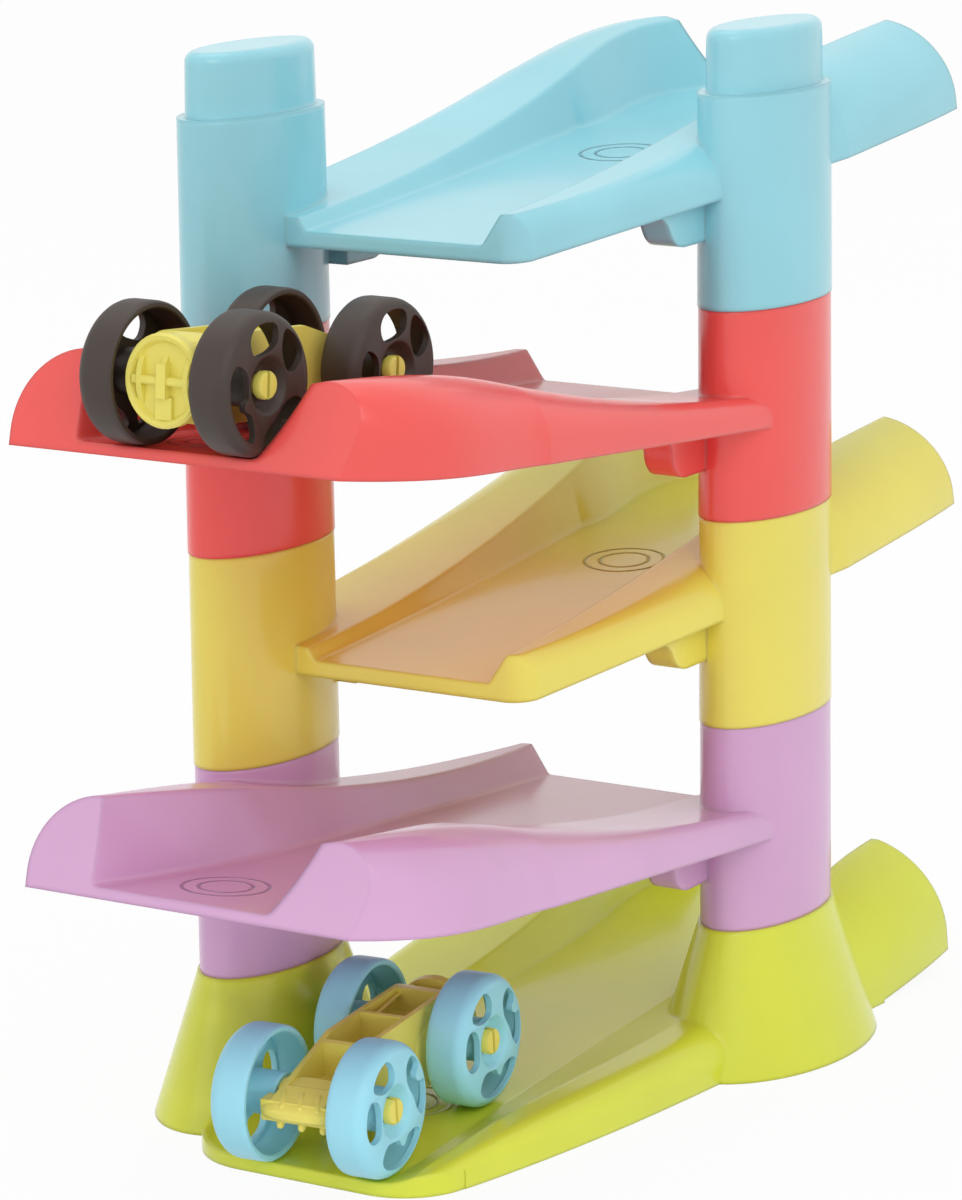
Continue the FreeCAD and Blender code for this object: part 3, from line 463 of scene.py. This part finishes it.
def rings_on(node, centres):
    """Low rings that follow the floor of a level."""
    level = frame["nodes"][node]

    def build(mesh):
        """Draw the two rings about each centre."""
        for middle_x, middle_y in centres:
            for radius in RING_RADII:
                loops = []
                for angle in full_turn(CIRCLE_STEPS):
                    loop = []
                    for across, rise in RING_PROFILE:
                        x = middle_x + (radius + across) * math.cos(angle)
                        y = middle_y + (radius + across) * math.sin(angle)
                        spot = level.ray_cast((x, y, ABOVE_ALL), (0.0, 0.0, -1.0))[1]
                        loop.append(mesh.verts.new((x, y, spot.z + rise)))
                    loops.append(loop)
                for first, second in zip(loops, loops[1:] + loops[:1]):
                    bridge(mesh, first, second)
    return build


def add_piece(name, build, place, body, slot):
    """Draw a piece with build, put it in its place and let it ride on a body."""
    shape = bmesh.new()
    build(shape)
    bmesh.ops.recalc_face_normals(shape, faces=shape.faces)
    shape.transform(place)
    data = bpy.data.meshes.new(name)
    shape.to_mesh(data)
    shape.free()
    data.shade_smooth()
    data.set_sharp_from_angle(angle=SHARP_ANGLE)
    data.materials.append(materials[slot])
    piece = bpy.data.objects.new(name, data)
    scene.collection.objects.link(piece)
    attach(piece, body)
    return piece


LEVELS = (("green_base", "base"), ("purple_level", "purple"), ("yellow_level", "yellow"),
          ("red_level", "red"), ("blue_level", "blue"))
for node, body in LEVELS:
    slot = slots[node]
    add_piece(body + "_floor_rings", rings_on(node, RINGS[slot]), Matrix.Identity(4), body, slot)

# Each car with the slot of its wheels and how far they have rolled
CARS = (("blue_car", "blue_wheel_plastic", 0.0), ("brown_car", "brown_wheel_plastic", math.radians(-75.0)))
WHEELS = ("front_left_wheel", "front_right_wheel", "rear_left_wheel", "rear_right_wheel")
for car, wheel_slot, rolled in CARS:
    middle = car_place(car)
    for part, build in (("nose", nose_mesh), ("tail", tail_mesh), ("barrel", barrel_mesh)):
        add_piece(car + "_" + part, build, middle, car, "car_yellow_plastic")
    for wheel in WHEELS:
        outward = 1 if "left" in wheel else -1
        front = 1 if "front" in wheel else -1
        axes = Matrix(((-outward, 0, 0), (0, 0, outward), (0, 1, 0))).to_4x4()
        hub = middle @ Matrix.Translation((front * WHEEL_AHEAD, outward * WHEEL_ASIDE, 0.0)) @ axes
        name = car + "_" + wheel
        turned = hub @ Matrix.Rotation(rolled, 4, "Z")
        piece = add_piece(name + "_detailed", wheel_mesh, turned, name, wheel_slot)
        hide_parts(name)
        add_piece(name.removesuffix("_wheel") + "_pin_cap", cap_mesh, hub, car, "car_yellow_plastic")


# Camera at the photograph's viewing angle

CAMERA_PLACE = (-1.37808, -0.85635, 0.53564)
CAMERA_FORWARD = (0.82913, 0.51188, -0.22477)
CAMERA_RIGHT = (0.52532, -0.85090, 0.0)
CAMERA_ROLL = -0.0133

camera_data = bpy.data.cameras.new("camera")
camera = bpy.data.objects.new("camera", camera_data)
scene.collection.objects.link(camera)
forward = Vector(CAMERA_FORWARD).normalized()
level_right = Vector(CAMERA_RIGHT).normalized()
level_up = level_right.cross(forward)
right = level_right * math.cos(CAMERA_ROLL) + level_up * math.sin(CAMERA_ROLL)
up = level_up * math.cos(CAMERA_ROLL) - level_right * math.sin(CAMERA_ROLL)
facing = Matrix((right, up, -forward)).transposed().to_4x4()
camera.matrix_world = Matrix.Translation(CAMERA_PLACE) @ facing
camera_data.sensor_fit = "HORIZONTAL"
camera_data.sensor_width = 36.0
camera_data.lens = 183.57
camera_data.shift_x = -0.0406
camera_data.shift_y = 0.0177
camera_data.clip_end = 20.0
scene.camera = camera


# Studio: a bright even room, three large soft lamps and a low one for the car under the lowest level

WORLD_LIGHT = 0.78
FLOOR_WHITE = 0.93
FLOOR_REACH = 6.0
FLOOR_DROP = 0.0002
FLOOR_COLOUR = (0.9, 0.9, 0.9, 1.0)
FLOOR_ROUGHNESS = 0.8
LOW_SPREAD = math.radians(24.0)


def area_light(name, place, target, size, power):
    """A soft rectangular lamp that points at target."""
    data = bpy.data.lights.new(name, "AREA")
    data.shape = "RECTANGLE"
    data.size, data.size_y = size
    data.energy = power
    lamp = bpy.data.objects.new(name, data)
    scene.collection.objects.link(lamp)
    lamp.location = place
    lamp.rotation_euler = (Vector(target) - Vector(place)).to_track_quat("-Z", "Y").to_euler()
    return lamp


def white_to_the_eye(tree, plain, share, target):
    """Mix a shader with plain white for what the camera, mirror reflections and glass see."""
    white = tree.nodes.new("ShaderNodeEmission")
    white.inputs["Strength"].default_value = 1.0
    rays = tree.nodes.new("ShaderNodeLightPath").outputs
    seen = joined(tree, "ShaderNodeMath", "MAXIMUM", rays["Is Camera Ray"], rays["Is Glossy Ray"])
    seen = joined(tree, "ShaderNodeMath", "MAXIMUM", seen.outputs["Value"], rays["Is Transmission Ray"])
    amount = joined(tree, "ShaderNodeMath", "MULTIPLY", seen.outputs["Value"], share)
    choose = tree.nodes.new("ShaderNodeMixShader")
    tree.links.new(amount.outputs["Value"], choose.inputs[0])
    tree.links.new(plain.outputs[0], choose.inputs[1])
    tree.links.new(white.outputs[0], choose.inputs[2])
    tree.links.new(choose.outputs[0], target)


world = bpy.data.worlds.new("studio")
scene.world = world
world.use_nodes = True
world_tree = world.node_tree
back = world_tree.nodes["Background"]
back.inputs["Color"].default_value = (1.0, 1.0, 1.0, 1.0)
back.inputs["Strength"].default_value = WORLD_LIGHT
white_to_the_eye(world_tree, back, 1.0, world_tree.nodes["World Output"].inputs["Surface"])

area_light("key", (-1.3, -1.5, 1.6), (0.0, 0.0, 0.15), (1.2, 1.2), 9.0)
area_light("fill", (-2.2, 0.6, 0.9), (0.0, 0.0, 0.15), (1.4, 1.4), 3.0)
low = area_light("low", (-0.62, -0.72, 0.07), (-0.11, -0.02, 0.012), (0.30, 0.16), 0.042)
low.data.spread = LOW_SPREAD
low.visible_glossy = False
area_light("top", (0.2, 0.3, 2.2), (0.0, 0.0, 0.1), (1.6, 1.6), 8.0)

floor_mesh = bpy.data.meshes.new("floor")
floor_corners = [(x * FLOOR_REACH, y * FLOOR_REACH, 0) for x, y in ((-1, -1), (1, -1), (1, 1), (-1, 1))]
floor_mesh.from_pydata(floor_corners, [], [(0, 1, 2, 3)])
floor = bpy.data.objects.new("floor", floor_mesh)
scene.collection.objects.link(floor)
floor.location.z = -FLOOR_DROP
floor_material = bpy.data.materials.new("pale_floor")
floor_material.use_nodes = True
floor_tree = floor_material.node_tree
surface = floor_tree.nodes["Principled BSDF"]
surface.inputs["Base Color"].default_value = FLOOR_COLOUR
surface.inputs["Roughness"].default_value = FLOOR_ROUGHNESS
white_to_the_eye(floor_tree, surface, FLOOR_WHITE, floor_tree.nodes["Material Output"].inputs["Surface"])
floor_mesh.materials.append(floor_material)
